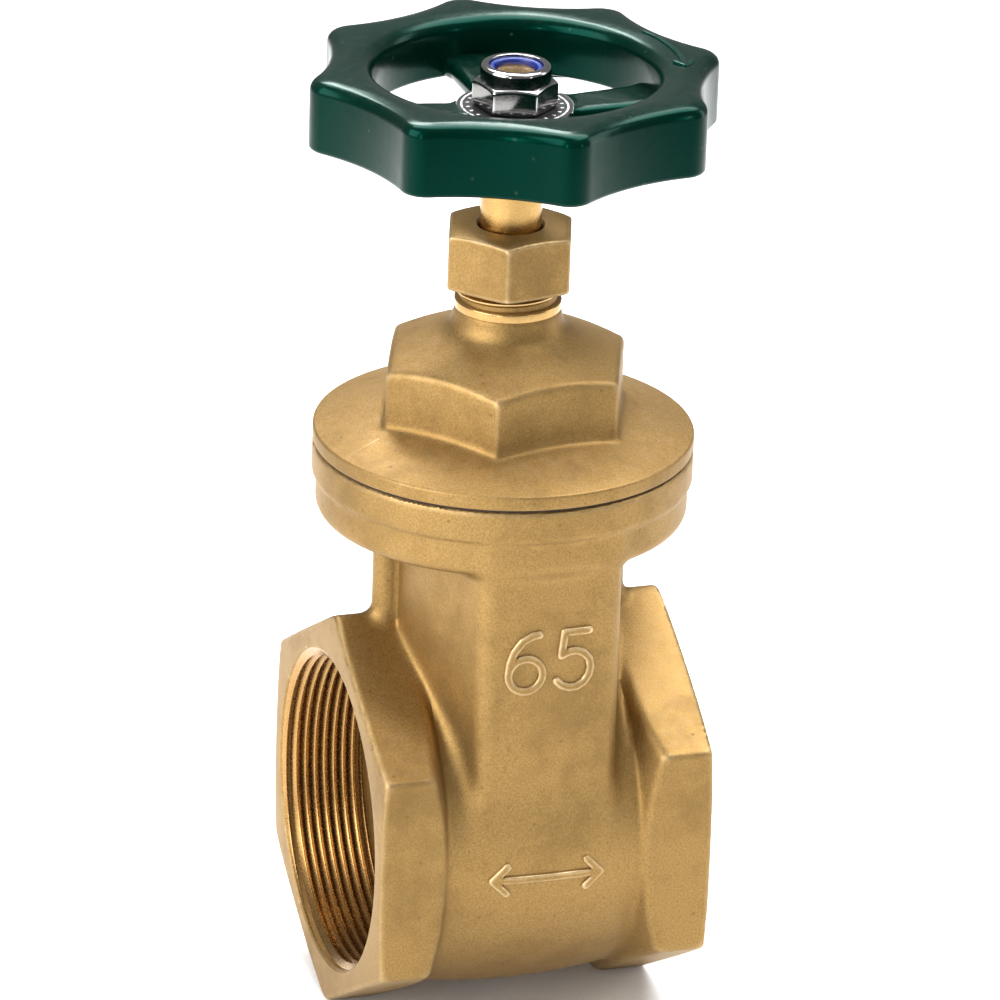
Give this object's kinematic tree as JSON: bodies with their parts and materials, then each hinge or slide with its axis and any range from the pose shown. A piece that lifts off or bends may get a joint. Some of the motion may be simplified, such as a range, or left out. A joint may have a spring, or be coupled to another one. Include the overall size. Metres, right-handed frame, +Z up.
{
  "type": "gate valve",
  "caption": "Non-rising-stem gate valve with hexagonal female-threaded pipe ends, screwed bonnet, packing gland and lobed handwheel that lowers a wedge across a full-bore waterway.",
  "frame": {"origin": "where the pipe axis meets the stem axis, at the middle of the waterway", "axes": "+X along the pipe towards the outlet port, +Z up the stem towards the handwheel, +Y across; right-handed"},
  "size_m": [0.0964, 0.0964, 0.2294],
  "materials": {
    "forged_brass": "satin, shot-blasted forging with darker tarnish and bright edges",
    "turned_brass": "machined, fine turning marks",
    "fibre_gasket": "matte",
    "white_ptfe": "matte",
    "green_paint": "gloss enamel over a pressure die casting",
    "black_label": "satin black with white printed ring",
    "stainless": "bright",
    "blue_nylon": "gloss"
  },
  "bodies": {
    "housing": {"valve_body": "forged_brass", "bonnet_gasket": "fibre_gasket", "bonnet": "forged_brass", "stem_retaining_ring": "turned_brass", "upper_thrust_washer": "white_ptfe", "lower_thrust_washer": "white_ptfe", "packing_washer": "turned_brass", "packing_ring_1": "white_ptfe", "packing_ring_2": "white_ptfe", "packing_ring_3": "white_ptfe", "gland_follower": "turned_brass", "gland_nut": "forged_brass"},
    "spindle": {"stem": "turned_brass", "handwheel": "green_paint", "wheel_disc": "black_label", "wheel_nut": "stainless", "nut_insert": "blue_nylon"},
    "gate": {"gate_wedge": "forged_brass"}
  },
  "joints": [
    {"name": "handwheel_turn", "type": "hinge", "parent": "housing", "child": "spindle", "pos_m": [0, 0, 0.17], "axis": [0, 0, 1], "range_deg": [-4464, 0]},
    {"name": "gate_travel", "type": "slide", "parent": "housing", "child": "gate", "axis": [0, 0, 1], "range_m": [-0.062, 0]}
  ],
  "couplings": [
    {"joint": "gate_travel", "follows": "handwheel_turn", "m_per_rad": 0.0007957}
  ]
}
